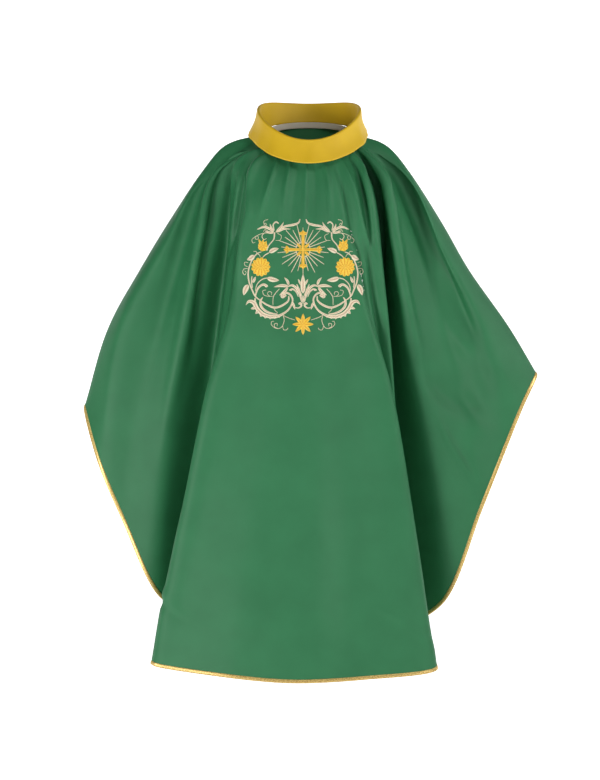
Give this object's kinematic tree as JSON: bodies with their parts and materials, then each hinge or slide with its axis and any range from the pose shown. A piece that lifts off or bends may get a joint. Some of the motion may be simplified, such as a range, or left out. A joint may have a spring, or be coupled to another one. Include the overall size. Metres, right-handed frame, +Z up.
{
  "type": "chasuble",
  "caption": "Very wide green chasuble with a rolled gold collar, embroidered chest and gold-braided hem, hanging from its neck opening with both wings held out.",
  "frame": {"origin": "centre of the neck opening, level with the shoulder ends of the neck seam", "axes": "+Z up, the front of the garment faces -Y, +X is on the right of someone who faces it"},
  "size_m": [1.0657, 0.4343, 1.3165],
  "materials": {
    "cloth": "green polyester crepe with a soft satin sheen",
    "collar": "gold-yellow satin crepe",
    "lining": "plain off-white woven interlining and tape",
    "trim": "flat braid of metallic gold yarn",
    "pale_thread": "cream rayon satin stitch",
    "gold_thread": "gold-yellow rayon satin stitch"
  },
  "bodies": {
    "root": {"front_panel": "cloth", "back_panel": "cloth", "hem_binding": "trim", "neck_tape": "lining", "shoulder_tape_left": "lining", "shoulder_tape_right": "lining", "collar_upper": "collar", "collar_interlining": "lining", "collar_under": "collar", "leaf_spray_left": "pale_thread", "leaf_spray_right": "pale_thread", "crown_flower_left": "gold_thread", "crown_flower_right": "gold_thread", "rose_left": "gold_thread", "rose_right": "gold_thread", "vine_left": "pale_thread", "vine_right": "pale_thread", "inner_leaf_left": "pale_thread", "inner_leaf_right": "pale_thread", "scroll_left": "pale_thread", "scroll_right": "pale_thread", "inner_scroll_left": "pale_thread", "inner_scroll_right": "pale_thread", "side_leaf_left": "pale_thread", "side_leaf_right": "pale_thread", "leaf_sprig_left": "pale_thread", "leaf_sprig_right": "pale_thread", "lower_tendril_left": "pale_thread", "lower_tendril_right": "pale_thread", "palmette": "pale_thread", "star_flower": "gold_thread", "sunburst": "pale_thread", "cross_emblem": "gold_thread", "embroidery_backing": "lining"}
  },
  "joints": []
}
